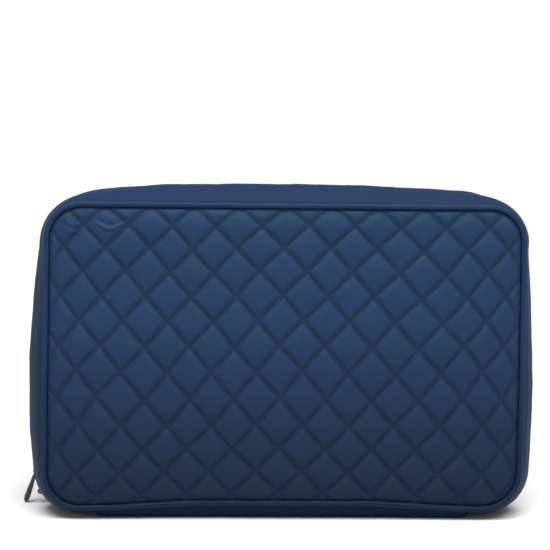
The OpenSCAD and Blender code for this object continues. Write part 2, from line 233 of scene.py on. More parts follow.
def plain(name, a, c, rough=0.6, scale=300, bump=0.3, dist=0.0003, spec=0.4):
    mat = bpy.data.materials.new(name)
    nt, N, L = nodes_of(mat)
    out = N.new("ShaderNodeOutputMaterial"); b = N.new("ShaderNodeBsdfPrincipled")
    L.new(b.outputs[0], out.inputs[0])
    b.inputs["Specular IOR Level"].default_value = spec
    tc = N.new("ShaderNodeTexCoord")
    n1 = N.new("ShaderNodeTexNoise"); n1.inputs["Scale"].default_value = scale; n1.inputs["Detail"].default_value = 4
    L.new(tc.outputs["Object"], n1.inputs["Vector"])
    mix = N.new("ShaderNodeMix"); mix.data_type = "RGBA"
    mix.inputs[6].default_value = (*a, 1); mix.inputs[7].default_value = (*c, 1)
    L.new(n1.outputs[0], mix.inputs[0]); L.new(mix.outputs[2], b.inputs["Base Color"])
    mr = N.new("ShaderNodeMapRange"); mr.inputs[3].default_value = rough - 0.1; mr.inputs[4].default_value = rough + 0.1
    L.new(n1.outputs[0], mr.inputs[0]); L.new(mr.outputs[0], b.inputs["Roughness"])
    bp = N.new("ShaderNodeBump"); bp.inputs["Strength"].default_value = bump; bp.inputs["Distance"].default_value = dist
    L.new(n1.outputs[0], bp.inputs["Height"]); L.new(bp.outputs[0], b.inputs["Normal"])
    return mat

NAVY = (0.0078, 0.0258, 0.0690)
NAVY_D = (0.0065, 0.0216, 0.0592)
# painted shade in these cloths: darker in grooves and seams, and darker towards the floor
M_QUILT = cloth("quilted_nylon", NAVY, NAVY_D, rough=0.58, sheen=0.05, crease_shade=0.22, mottled=0.06, spec=0.12, falloff=0.36)
M_GUSSET = cloth("gusset_nylon", (0.0050, 0.0175, 0.050), (0.0040, 0.0145, 0.042), rough=0.70, sheen=0.05, crease_shade=0.8, mottled=0.05, spec=0.10, falloff=0.7)
M_PIPING = cloth("piping_nylon", (0.0068, 0.0225, 0.062), (0.0055, 0.018, 0.052), rough=0.60, sheen=0.04, weave=0.36, mottled=0.08, turn=0.785, spec=0.10, falloff=0.45)
# painted shade: a near-black cloth for the thin tube that stands in for the shadow in the piping seam
M_SEAM_SHADE = cloth("painted_seam_shade", (0.002, 0.005, 0.013), (0.001, 0.003, 0.009), rough=0.85, sheen=0.0, spec=0.05)
M_BASE = cloth("base_nylon", (0.0035, 0.012, 0.034), (0.0028, 0.009, 0.026), spec=0.05, rough=0.68, sheen=0.0, mottled=0.08, crease_shade=0.4)
M_LINING = cloth("lining_cloth", (0.022, 0.042, 0.088), (0.016, 0.032, 0.068), rough=0.5, sheen=0.25, weave=0.3, weave_str=0.35, mottled=0.08)
M_TAPE = cloth("zip_tape", (0.013, 0.026, 0.055), (0.009, 0.019, 0.042), rough=0.8, sheen=0.1, weave=0.8, weave_str=0.7)
M_BIND = cloth("seam_tape", (0.012, 0.024, 0.052), (0.008, 0.017, 0.038), rough=0.8, sheen=0.1, weave=0.9, weave_str=0.7)
M_THREAD = cloth("sewing_thread", (0.0105, 0.028, 0.070), (0.008, 0.022, 0.056), rough=0.6, sheen=0.0, spec=0.12, weave=0.25, weave_str=0.6)
M_COIL = plain("zip_coil", (0.010, 0.020, 0.045), (0.018, 0.033, 0.066), rough=0.38, scale=500, bump=0.1)
M_METAL = metal("bright_metal", (0.50, 0.51, 0.53), 0.18)
M_DARK = metal("dark_metal", (0.055, 0.054, 0.060), 0.20)
M_FOAM = plain("foam", (0.022, 0.028, 0.042), (0.034, 0.042, 0.060), rough=0.9, scale=1500, bump=0.7)
M_CORE = plain("cord_core", (0.70, 0.67, 0.60), (0.84, 0.82, 0.76), rough=0.9, scale=900, bump=0.8)
M_BOARD = plain("stiffener", (0.09, 0.10, 0.11), (0.14, 0.15, 0.16), rough=0.7, scale=600, bump=0.3)

def wear(o, mat):
    o.data.materials.clear()
    o.data.materials.append(mat)
    return o

# ------------------------------------------------------------------ quilted panels
# place of the lattice: half-integer column and row numbers against x and z
_ux = np.array([-168.8, -153.6, -138.3, -122.2, -105.4, -87.9, -70.3, -52.7, -35.1, -18.3, -0.8, 15.3, 33.6, 51.2, 68.8, 87.1, 104.7, 121.9, 138.3, 153.9, 169.6])
_un = np.arange(len(_ux)) * 0.5 - 0.5
_wz = np.array([240.6, 224.4, 207.4, 190.5, 171.4, 153.1, 133.2, 113.8, 93.2, 73.0, 53.9, 35.0, 17.0])
_wn = np.arange(len(_wz)) * 0.5 - 0.5
PU = np.polyfit(_ux / 100, _un, 5)
PW = np.polyfit(_wz / 100, _wn, 4)
QHW, QZ0, QZ1 = HW - 3.0, Z0 + 3.0, Z1 - 3.0
QR = (R_TL - 3, R_TR - 3, R_BL - 3, R_BR - 3)
LSP = 25.6

def lean(z):
    return 0.0165 * (205 - z) + 1.5 * np.exp(-((z - 140) / 45) ** 2)

class Quilt:
    """the relief of one panel; height is in mm outwards from the seam plane"""
    def __init__(self, seed, pucker):
        self.warp_u = make_noise(seed, 9, 60, 200)
        self.warp_w = make_noise(seed + 1, 9, 60, 200)
        self.big = make_noise(seed + 2, 10, 50, 170)
        self.mid = make_noise(seed + 3, 16, 9, 26)
        self.fine = make_noise(seed + 4, 22, 3.5, 8)
        self.phase = make_noise(seed + 5, 8, 15, 50)
        self.pucker = pucker
    def uw(self, x, z):
        u = np.polyval(PU, (x + lean(z)) / 100) + 0.030 * self.warp_u(x, z)
        w = np.polyval(PW, z / 100) + 0.028 * self.warp_w(x, z)
        return u, w
    def height(self, x, z):
        d = sdf_in(x, z, QHW, QZ0, QZ1, *QR)
        u, w = self.uw(x, z)
        a, b = u - w, u + w
        da = np.abs(a - np.round(a)) * LSP
        db = np.abs(b - np.round(b)) * LSP
        # groove: sharp at the thread, rolling over to the pad
        ga, gb = np.exp(-(da / 1.9) ** 1.5), np.exp(-(db / 1.9) ** 1.5)
        groove = 1 - (1 - ga) * (1 - gb)
        fa, fb = np.minimum(da / 12.8, 1), np.minimum(db / 12.8, 1)
        pad = (1 - (1 - fa) ** 2.4) * (1 - (1 - fb) ** 2.4)
        hz = (QZ1 - QZ0) / 2
        cx, cz = np.clip(np.abs(x) / QHW, 0, 1), np.clip(np.abs(z - (QZ0 + hz) + 6) / (hz + 6), 0, 1)
        crown = 3.2 * (1 - cx ** 2.4) * (1 - cz ** 2.2)
        edge = 1 - np.exp(-np.maximum(d, 0) / 3.2)
        h = 0.1 + 2.6 * edge + crown
        h = h + edge * (1.55 * pad - 1.35 * groove)
        # threads pull small puckers across the groove
        near = np.exp(-(da / 4.5) ** 2) * np.sin(2 * np.pi * b * LSP * 0.98 / 4.6 + 2.2 * self.phase(x, z)) \
             + np.exp(-(db / 4.5) ** 2) * np.sin(2 * np.pi * a * LSP * 0.98 / 4.6 + 2.2 * self.phase(z, x))
        h = h + edge * 0.085 * near * (1 - 0.6 * groove)
        h = h + edge * (0.35 * self.big(x, z) + 0.13 * self.mid(x, z) + 0.035 * self.fine(x, z))
        # puckers at the seam
        h = h + 0.22 * np.exp(-(d / 5.0) ** 2) * (1 - np.exp(-(d / 1.2) ** 2)) * np.sin((x + z) / 1.9 + 2.5 * self.phase(z, x))
        # slack folds in one top corner
        for (x0, z0, x1, z1, wd, am) in self.pucker:
            L2 = (x1 - x0) ** 2 + (z1 - z0) ** 2
            t = np.clip(((x - x0) * (x1 - x0) + (z - z0) * (z1 - z0)) / L2, 0, 1)
            bow = 0.19 * L2 ** 0.5 * np.sin(np.pi * t) ** 1.3
            dist = np.hypot(x - (x0 + t * (x1 - x0)), z + bow - (z0 + t * (z1 - z0)))
            h = h + edge * am * np.exp(-(dist / wd) ** 2) * np.sin(np.pi * np.clip(t * 0.9 + 0.05, 0, 1)) ** 0.5
        return h, groove * edge, d

def quilt_panel(name, side, q, step=1.1):
    nx, nz = int(2 * QHW / step), int((QZ1 - QZ0) / step)
    gx, gz = np.linspace(-QHW, QHW, nx + 1), np.linspace(QZ0, QZ1, nz + 1)
    X, Z = np.meshgrid(gx, gz, indexing="ij")
    cz = (QZ0 + QZ1) / 2; hz = (QZ1 - QZ0) / 2
    r = np.where(Z > cz, np.where(X < 0, QR[0], QR[1]), np.where(X < 0, QR[2], QR[3]))
    dx, dz = np.abs(X) - (QHW - r), np.abs(Z - cz) - (hz - r)
    c = (dx > 0) & (dz > 0)
    k = np.where(c, np.maximum(dx, dz) / np.maximum(np.hypot(dx, dz), 1e-9), 1.0)
    X = np.where(c, np.sign(X) * (QHW - r + dx * k), X)
    Z = np.where(c, cz + np.sign(Z - cz) * (hz - r + dz * k), Z)
    h, g, d = q.height(X, Z)
    Y = side * (56.3 + h)
    v = np.stack([X, Y, Z], -1).reshape(-1, 3)
    n, m = X.shape
    f = grid_faces(n, m)
    if side < 0:
        f = f[:, ::-1]
    f = f.tolist()
    # rim turned in to the seam, closed by one flat back
    rim = [i * m for i in range(n)] + [(n - 1) * m + k2 for k2 in range(1, m)] + [i * m + m - 1 for i in range(n - 2, -1, -1)] + [k2 for k2 in range(m - 2, 0, -1)]
    back = v[rim].copy(); back[:, 1] = side * 55.0
    o0 = len(v)
    v = np.vstack([v, back])
    R = len(rim)
    for i in range(R):
        j = (i + 1) % R
        f.append([rim[i], rim[j], o0 + j, o0 + i])
    f.append([o0 + i for i in range(R)])
    # painted shade: the grooves and the turned-in rim are marked here to darken the quilt colour
    o = mesh_obj(name, v, f, attrs={"crease_shade": np.concatenate([np.clip(g.reshape(-1), 0, 1), np.ones(R)])})
    fix_normals(o)
    return o

def thread_mesh(name, P, T, Nn, length, radius, sides=5):
    """P middles, T directions, Nn outward normals: one small sunken bead of thread each"""
    S = np.cross(T, Nn)
    S /= np.linalg.norm(S, axis=1)[:, None]
    Nn = np.cross(S, T)
    prof = [(-0.5, 0.25, -0.25), (-0.3, 0.95, 0.06), (0.3, 0.95, 0.06), (0.5, 0.25, -0.25)]
    V = []
    for (t, rr, lift) in prof:
        for k in range(sides):
            a = 2 * np.pi * k / sides
            V.append(P + T * (t * length) + S * (np.cos(a) * radius * rr) + Nn * (np.sin(a) * radius * rr * 0.8 + lift * radius))
    V = np.stack(V, 1)
    n = len(P); c = len(prof) * sides
    F = []
    base = []
    for i in range(len(prof) - 1):
        for k in range(sides):
            k2 = (k + 1) % sides
            base.append([i * sides + k, i * sides + k2, (i + 1) * sides + k2, (i + 1) * sides + k])
    base = np.array(base)
    F = (base[None] + (np.arange(n) * c)[:, None, None]).reshape(-1, 4).tolist()
    for e0 in (list(range(sides))[::-1], list(range((len(prof) - 1) * sides, len(prof) * sides))):
        F += (np.array(e0)[None] + (np.arange(n) * c)[:, None]).tolist()
    return mesh_obj(name, V.reshape(-1, 3), F)

def quilt_stitches(name, side, q):
    P, T = [], []
    xs = np.linspace(-QHW, QHW, 2400)
    zg = np.linspace(QZ0 - 4, QZ1 + 4, 900)
    for fam in (-1, 1):
        for n in range(-8, 18):
            # follow u + fam * w = n by marching on a fine grid in x
            z = np.full(len(xs), np.nan)
            wz = np.polyval(PW, zg / 100)
            target = (n - np.polyval(PU, (xs + lean(130)) / 100)) * fam
            z = np.interp(-target, -wz, zg, left=np.nan, right=np.nan)
            ok = ~np.isnan(z)
            if ok.sum() < 8:
                continue
            for _ in range(3):      # the small warp is solved by a few corrections
                u, w = q.uw(xs[ok], z[ok])
                err = u + fam * w - n
                dw = (np.polyval(PW, (z[ok] + 0.5) / 100) - np.polyval(PW, (z[ok] - 0.5) / 100)) * fam
                z[ok] = z[ok] - err / dw
            d = sdf_in(xs[ok], z[ok], QHW, QZ0, QZ1, *QR)
            pts = np.stack([xs[ok], z[ok]], 1)[d > 1.2]
            if len(pts) < 8:
                continue
            s = arc_length(pts)
            pos = np.arange(1.6, s[-1] - 1.0, 3.1)
            px, pz = np.interp(pos, s, pts[:, 0]), np.interp(pos, s, pts[:, 1])
            qx, qz = np.interp(pos + 0.6, s, pts[:, 0]), np.interp(pos + 0.6, s, pts[:, 1])
            P.append(np.stack([px, pz], 1)); T.append(np.stack([qx - px, qz - pz], 1))
    P, T = np.concatenate(P), np.concatenate(T)
    h, _, _ = q.height(P[:, 0], P[:, 1])
    h2, _, _ = q.height(P[:, 0] + T[:, 0], P[:, 1] + T[:, 1])
    p3 = np.stack([P[:, 0], side * (56.3 + h + 0.10), P[:, 1]], 1)
    t3 = np.stack([T[:, 0], side * (h2 - h), T[:, 1]], 1)
    t3 /= np.linalg.norm(t3, axis=1)[:, None]
    n3 = np.tile([0, side, 0], (len(P), 1)).astype(float)
    return thread_mesh(name, p3, t3, n3, 2.3, 0.27)

PUCK = [(-146, 227, -121, 227, 1.15, 0.85), (-146, 230, -121, 230, 1.3, -0.7), (-145, 224.6, -123, 224.6, 1.3, -0.5),
        (-168, 226, -157, 223, 1.1, -0.8), (-168, 229, -155, 226.5, 1.1, 0.6), (-164, 220, -152, 224, 1.2, 0.7), (-166, 217, -154, 221, 1.2, -0.6),
        (-154, 236, -149, 226, 1.2, -0.8), (-151, 238, -144, 228, 1.1, 0.6), (-146, 236, -122, 233, 1.8, 0.4), (-172, 150, -160, 147, 1.2, -0.5), (-172, 128, -162, 131, 1.2, -0.4)]
q_front = Quilt(11, PUCK)
q_rear = Quilt(41, [(120, 236, 158, 226, 4.0, 0.7)])
front_quilt = quilt_panel("front_quilt", -1, q_front)
rear_quilt = quilt_panel("rear_quilt", 1, q_rear)
for o, body, nodes in ((front_quilt, "front_cover", "front_quilt_panel"), (rear_quilt, "rear_shell", "rear_quilt_panel")):
    wear(o, M_QUILT)
    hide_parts(nodes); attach(o, body)
fs = wear(quilt_stitches("front_quilt_stitching", -1, q_front), M_THREAD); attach(fs, "front_cover")
rs = wear(quilt_stitches("rear_quilt_stitching", 1, q_rear), M_THREAD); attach(rs, "rear_shell")

# ------------------------------------------------------------------ gusset
COUNTS = [6, 30, 56, 30, 96, 30, 56, 30, 6]
sp, sn, srun, sfr = outline(HW, Z0, Z1, R_TL, R_TR, R_BL, R_BR, COUNTS, END_X)
zp, zn, _, _ = outline(HW + 1.5, 4.0, 246.0, 50, 50, 24, 24, COUNTS, END_X)
S_LEN = arc_length(sp)

def swell_at(run, f, side):
    out = np.ones(len(run))
    s = np.sin(np.pi * np.clip(f, 0, 1))
    up = lambda g, b: 10 + (b - 10) * np.sin(np.pi * g ** 0.8) - 5.2 * g ** 2.6
    out = np.where((run == 0) | (run == 8), 6.4, out)
    out = np.where(run == 1, 6.4 + 3.6 * f ** 1.4, out)
    out = np.where(run == 2, up(f, 13.6), out)
    out = np.where(run == 3, 4.9 + 0.2 * s, out)
    out = np.where(run == 4, 5.2 + (6.7 if side < 0 else 4.6) * s ** 0.42, out)
    out = np.where(run == 5, 6.3 + 0.5 * s, out)
    out = np.where(run == 6, up(1 - f, 12.0), out)
    out = np.where(run == 7, 6.4 + 3.6 * (1 - f) ** 1.1, out)
    return out

# rounded off at the joints between the runs
ker = np.exp(-np.linspace(-2, 2, 13) ** 2); ker /= ker.sum()
SWELL = {d: np.convolve(np.pad(swell_at(srun, sfr, d), 6, mode="edge"), ker, "valid") for d in (-1, 1)}

def strip_points(side, v, depth, noise=None, amp=1.0):
    """points (stations, places, 3) of the gusset strip"""
    v = np.asarray(v, float)
    w = smoothstep(v)
    n2 = sn[:, None, :] * (1 - v)[None, :, None] + zn[:, None, :] * v[None, :, None]
    n2 = n2 / np.linalg.norm(n2, axis=2)[:, :, None]
    p2 = sp[:, None, :] * (1 - w)[None, :, None] + zp[:, None, :] * w[None, :, None]
    # full right from the seam low down, rounder higher up
    ex = np.select([(srun == 0) | (srun == 8), srun == 1, srun == 7], [0.32, 0.32 + 0.36 * sfr, 0.68 - 0.36 * sfr], 0.68)
    prof = np.sin(np.pi * np.clip(v, 0, 1) ** 1.05)[None, :] ** ex[:, None]
    b = SWELL[side][:, None] * prof
    if noise is not None:
        falloff = np.sin(np.pi * np.clip(v, 0, 1)) ** 0.5
        s = S_LEN[:, None]; y = (v * 49.4)[None, :]
        long_, rip, fine = noise
        b = b + amp * falloff[None, :] * (0.42 * long_(s, y * 0.6) + 0.09 * rip(s, y * 0.35) + 0.03 * fine(s, y))
        # cloth gathered a little along the two seams
        pk = 0.10 * np.exp(-((v * 49.4 - 2.5) / 3.0) ** 2) + 0.14 * np.exp(-(((1 - v) * 49.4 - 2.2) / 3.0) ** 2)
        b = b + amp * pk[None, :] * np.sin(s / 1.35 + 2.4 * rip(s * 0.6, y * 0 + 3))
        # the seam allowance shows through beside the piping, and a row of stitches holds the zip
        b = b + 0.22 * np.exp(-((v * 49.4 - 6.0) / 2.2) ** 2)[None, :] - 0.12 * np.exp(-((v * 49.4 - 9.4) / 1.6) ** 2)[None, :]
        b = b - 0.55 * np.exp(-(((1 - v) * 49.4 - 3.2) / 0.8) ** 2)[None, :]
    p2 = p2 + n2 * (b - depth)[:, :, None]
    p2[:, :, 1] = np.maximum(p2[:, :, 1], 0.35 + depth)
    y = side * (55.4 + (6.0 - 55.4) * v)
    return np.stack([p2[:, :, 0], np.broadcast_to(y[None, :], p2.shape[:2]), p2[:, :, 1]], -1)

def closed_strip(name, outer, inner, crease_shade=None):
    n, m = outer.shape[:2]
    k = inner.shape[1]
    ring = np.concatenate([outer, inner[:, ::-1]], 1)
    c = m + k
    v = ring.reshape(-1, 3)
    f = grid_faces(n, c, close_m=True).tolist()
    f.append(list(range(c)))
    f.append([(n - 1) * c + i for i in range(c)])
    at = None
    if crease_shade is not None:
        at = {"crease_shade": np.concatenate([crease_shade, np.zeros((n, k))], 1).reshape(-1)}
    o = mesh_obj(name, v, f, attrs=at)
    fix_normals(o)
    return o

def dense_places():
    a = np.concatenate([np.linspace(0, 0.24, 17), np.linspace(0.24, 0.86, 16)[1:], np.linspace(0.86, 1.0, 13)[1:]])
    return a

for side, tag, body, seed in ((-1, "front", "front_cover", 71), (1, "rear", "rear_shell", 91)):
    v = dense_places()
    nz3 = (make_noise(seed, 10, 40, 140), make_noise(seed + 1, 16, 10, 30), make_noise(seed + 2, 16, 4, 9))
    outer = strip_points(side, v, 0.0, nz3)
    vi = np.linspace(0, 1, 9)
    inner = strip_points(side, vi, 2.5)
    # painted shade: a dark line marked along the piping seam, a fainter one along the zip stitches
    cr = np.exp(-(((1 - v) * 49.4 - 3.2) / 0.9) ** 2)[None, :] * np.ones((len(sp), 1)) * 0.6 + np.exp(-((v * 49.4) / 0.9) ** 2)[None, :]
    o = closed_strip(tag + "_gusset_cloth", outer, inner, np.clip(cr, 0, 1))
    wear(o, M_GUSSET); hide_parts(tag + "_gusset"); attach(o, body)
    # stitches beside the zip
    vs = np.array([1 - 3.2 / 49.4, 1 - 3.2 / 49.4 + 0.004])
    line = strip_points(side, vs, 0.0, nz3)[:, 0]
    s = arc_length(line)
    pos = np.arange(3, s[-1] - 3, 3.0)
    P = np.stack([np.interp(pos, s, line[:, i]) for i in range(3)], 1)
    Q = np.stack([np.interp(pos + 0.8, s, line[:, i]) for i in range(3)], 1)
    T = (Q - P); T /= np.linalg.norm(T, axis=1)[:, None]
    nn = np.stack([np.interp(pos, s, zn[:, 0]), np.zeros(len(pos)), np.interp(pos, s, zn[:, 1])], 1)
    nn /= np.linalg.norm(nn, axis=1)[:, None]
    st = thread_mesh(tag + "_zip_stitching", P + nn * 0.12, T, nn, 2.2, 0.28)
    wear(st, M_THREAD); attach(st, body)
    # lining inside the strip
    vl = np.linspace(0.06, 0.97, 12)
    ln = (make_noise(seed + 5, 12, 15, 60), make_noise(seed + 6, 12, 8, 20), make_noise(seed + 7, 8, 4, 9))
    wob = 0.25 * ln[0](S_LEN[:, None], (vl * 49)[None, :])
    lo = strip_points(side, vl, 2.75)
    li = strip_points(side, vl, 3.9)
    nrm = np.stack([sn[:, 0], np.zeros(len(sn)), sn[:, 1]], 1)[:, None, :]
    li = li + nrm * np.clip(wob, -0.5, 0.5)[:, :, None]
    o = closed_strip(tag + "_gusset_lining_cloth", lo, li)
    wear(o, M_LINING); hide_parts(tag + "_gusset_lining"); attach(o, body)

# ------------------------------------------------------------------ piping, with a near-black tube of painted shade in the seam inside it
CC = [20, 26, 90, 26, 150, 26, 90, 26, 20]
def closed_loop(inset):
    p, n, _, _ = outline(HW - inset, Z0 + inset, Z1 - inset, R_TL - inset, R_TR - inset, R_BL - inset, R_BR - inset, CC, 0.0, True)
    return p, n

def tube_loop(name, p, n, y, r, sides=14, seed=1, rough_amp=0.05, flat=1.0):
    s = arc_length(p)
    nz = make_noise(seed, 12, 6, 30)
    a = np.linspace(0, 2 * np.pi, sides, endpoint=False)
    rad = r * (1 + rough_amp * nz(s[:, None], a[None, :] * 3)) + 0.0
    pts = np.zeros((len(p), sides, 3))
    off = rad * np.cos(a)[None, :]
    pts[:, :, 0] = p[:, :1] + n[:, :1] * off
    pts[:, :, 2] = p[:, 1:] + n[:, 1:] * off
    pts[:, :, 1] = y + rad * np.sin(a)[None, :] * flat
    o = mesh_obj(name, pts.reshape(-1, 3), grid_faces(len(p), sides, close_n=True, close_m=True))
    fix_normals(o)
    return o

for side, tag, body, seed in ((-1, "front", "front_cover", 5), (1, "rear", "rear_shell", 6)):
    p, n = closed_loop(1.0)
    o = tube_loop(tag + "_piping_cloth", p, n, side * 57.7, 2.05, 16, seed, 0.035)
    wear(o, M_PIPING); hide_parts(tag + "_piping"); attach(o, body)
    o = tube_loop(tag + "_piping_core", p, n, side * 57.7, 1.2, 10, seed + 9, 0.02)
    wear(o, M_CORE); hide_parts(tag + "_piping_cord"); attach(o, body)
    # painted shade: a near-black thin tube sunk in the seam between piping and quilt, standing in for the shadow there
    p, n = closed_loop(2.9)
    o = tube_loop(tag + "_piping_welt", p, n, side * 56.0, 0.9, 8, seed + 20, 0.03)
    wear(o, M_SEAM_SHADE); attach(o, body)

# ------------------------------------------------------------------ linings of the two panels
def lining_panel(name, side, seed):
    hw, z0, z1, r = HW - 3.8, Z0 + 3.8, Z1 - 3.8, 24.0
    nx, nz = 90, 60
    X, Z = np.meshgrid(np.linspace(-hw, hw, nx + 1), np.linspace(z0, z1, nz + 1), indexing="ij")
    cz, hz = (z0 + z1) / 2, (z1 - z0) / 2
    dx, dz = np.abs(X) - (hw - r), np.abs(Z - cz) - (hz - r)
    c = (dx > 0) & (dz > 0)
    k = np.where(c, np.maximum(dx, dz) / np.maximum(np.hypot(dx, dz), 1e-9), 1.0)
    X = np.where(c, np.sign(X) * (hw - r + dx * k), X); Z = np.where(c, cz + np.sign(Z - cz) * (hz - r + dz * k), Z)
    d = sdf_in(X, Z, hw, z0, z1, r, r, r, r)
    big, mid = make_noise(seed, 12, 40, 130), make_noise(seed + 1, 16, 10, 30)
    sag = (1 - np.exp(-np.maximum(d, 0) / 9)) * (0.7 + 0.55 * big(X, Z) + 0.22 * mid(X, Z))
    Y = 51.5 - np.clip(sag, -0.1, 2.4)
    n, m = X.shape
    inner = np.stack([X, side * Y, Z], -1).reshape(-1, 3)
    back = np.stack([X, np.full_like(X, side * 52.5), Z], -1).reshape(-1, 3)
    f = grid_faces(n, m)
    o0 = n * m
    rim = [i * m for i in range(n)] + [(n - 1) * m + q for q in range(1, m)] + [i * m + m - 1 for i in range(n - 2, -1, -1)] + [q for q in range(m - 2, 0, -1)]
    faces = f.tolist() + (f[:, ::-1] + o0).tolist()
    R = len(rim)
    faces += [[rim[i], rim[(i + 1) % R], o0 + rim[(i + 1) % R], o0 + rim[i]] for i in range(R)]
    o = mesh_obj(name, np.vstack([inner, back]), faces)
    fix_normals(o)
    return o

for side, tag, body, seed in ((-1, "front", "front_cover", 201), (1, "rear", "rear_shell", 221)):
    o = lining_panel(tag + "_lining_cloth", side, seed)
    wear(o, M_LINING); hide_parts(tag + "_lining"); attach(o, body)
    # bound inner seam
    hw, z0, z1 = HW - 5.1, Z0 + 5.1, Z1 - 5.1
    p, n, _, _ = outline(hw, z0, z1, R_TL - 5.1, R_TR - 5.1, R_BL - 5.1, R_BR - 5.1, CC, 0.0, True)
    sec = [(-0.7, 46.3), (-0.75, 48.5), (-0.6, 51.0), (0.6, 51.0), (0.75, 48.5), (0.7, 46.3), (0.0, 45.9)]
    wob = make_noise(seed + 9, 10, 12, 50)(arc_length(p), 0 * p[:, 0])
    pts = np.zeros((len(p), len(sec), 3))
    for j, (o_, y_) in enumerate(sec):
        k = (51.0 - y_) / 5
        off = o_ - 0.35 * k * (1 + wob * 0.6)
        pts[:, j, 0] = p[:, 0] + n[:, 0] * off; pts[:, j, 2] = p[:, 1] + n[:, 1] * off; pts[:, j, 1] = side * (y_ + 0.25 * k * wob)
    o = mesh_obj(tag + "_seam_binding_tape", pts.reshape(-1, 3), grid_faces(len(p), len(sec), True, True))
    fix_normals(o)
    wear(o, M_BIND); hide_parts(tag + "_seam_binding"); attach(o, body)

# ------------------------------------------------------------------ zip coils
def zip_path(step, x_end=END_X, ph=0.5):
    p, n, _, _ = outline(HW + 1.5, 4.0, 246.0, 50, 50, 24, 24, [60, 60, 200, 120, 400, 120, 200, 60, 60], x_end)
    s = arc_length(p)
    pos = np.arange(step * ph, s[-1], step)
    q = np.stack([np.interp(pos, s, p[:, i]) for i in range(2)], 1)
    m = np.stack([np.interp(pos, s, n[:, i]) for i in range(2)], 1)
    return q, m / np.linalg.norm(m, axis=1)[:, None]

def coil_mesh(name, side, keep):
    q, m = zip_path(1.27, ph=0.5 if side < 0 else 1.0)      # the two rows mesh half a pitch apart
    k = keep(q)
    q, m = q[k], m[k]
    t = np.stack([-m[:, 1], m[:, 0]], 1)
    # one element: a flattened loop that runs out to the centre line and back, with a round nose
    path = [(2.55, -0.42, -0.26), (1.7, -0.62, -0.22), (0.70, -0.58, -0.10), (0.08, 0.0, 0.0), (0.70, 0.58, 0.10), (1.7, 0.62, 0.22), (2.55, 0.42, 0.26)]
    rad = [0.30, 0.30, 0.31, 0.31, 0.31, 0.30, 0.30]
    sides = 6
    pa = np.array(path)
    ta = np.gradient(pa, axis=0); ta /= np.linalg.norm(ta, axis=1)[:, None]
    V = []
    for i in range(len(pa)):
        e1 = np.cross(ta[i], [0, 0, 1.0]); e1 /= np.linalg.norm(e1)
        e2 = np.cross(ta[i], e1)
        for j in range(sides):
            a = 2 * np.pi * j / sides
            V.append(pa[i] + rad[i] * (np.cos(a) * e1 + np.sin(a) * e2) * np.array([0.62 if i == 3 else 1, 1, 1]))
    V = np.array(V)            # (y out, r, t)
    n = len(q); c = len(V)
    P = np.zeros((n, c, 3))
    P[:, :, 0] = q[:, :1] + m[:, :1] * V[None, :, 1] + t[:, :1] * V[None, :, 2]
    P[:, :, 2] = q[:, 1:] + m[:, 1:] * V[None, :, 1] + t[:, 1:] * V[None, :, 2]
    P[:, :, 1] = side * V[None, :, 0]
    F = []
    for i in range(len(pa) - 1):
        for j in range(sides):
            j2 = (j + 1) % sides
            F.append([i * sides + j, i * sides + j2, (i + 1) * sides + j2, (i + 1) * sides + j])
    F = (np.array(F)[None] + (np.arange(n) * c)[:, None, None]).reshape(-1, 4).tolist()
    for e0 in (list(range(sides))[::-1], list(range((len(pa) - 1) * sides, len(pa) * sides))):
        F += (np.array(e0)[None] + (np.arange(n) * c)[:, None]).tolist()
    # the filler cord that the elements are sewn round
    a = np.linspace(0, 2 * np.pi, 8, endpoint=False)
    cy, cr = 1.55 + 0.85 * np.cos(a), 0.27 * np.sin(a)
    C = np.zeros((n, 8, 3))
    C[:, :, 0] = q[:, :1] + m[:, :1] * cr[None, :]
    C[:, :, 2] = q[:, 1:] + m[:, 1:] * cr[None, :]
    C[:, :, 1] = side * cy[None, :]
    o0 = n * c
    F += (grid_faces(n, 8, close_m=True) + o0).tolist() + [[o0 + i for i in range(8)], [o0 + (n - 1) * 8 + i for i in range(8)]]
    o = mesh_obj(name, np.vstack([P.reshape(-1, 3), C.reshape(-1, 3)]), F)
    fix_normals(o)
    return wear(o, M_COIL)

tail = lambda q: (q[:, 0] < 0) & (q[:, 1] < 47.2)
o = coil_mesh("front_coil_teeth", -1, lambda q: ~((q[:, 0] < 0) & (q[:, 1] < 48.8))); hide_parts("front_zip_coil"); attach(o, "front_cover")
o = coil_mesh("rear_coil_teeth", 1, lambda q: q[:, 1] > -99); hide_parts("rear_zip_coil"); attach(o, "rear_shell")
o = coil_mesh("tail_coil_teeth", -1, tail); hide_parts("zip_tail_coil"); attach(o, "rear_shell")

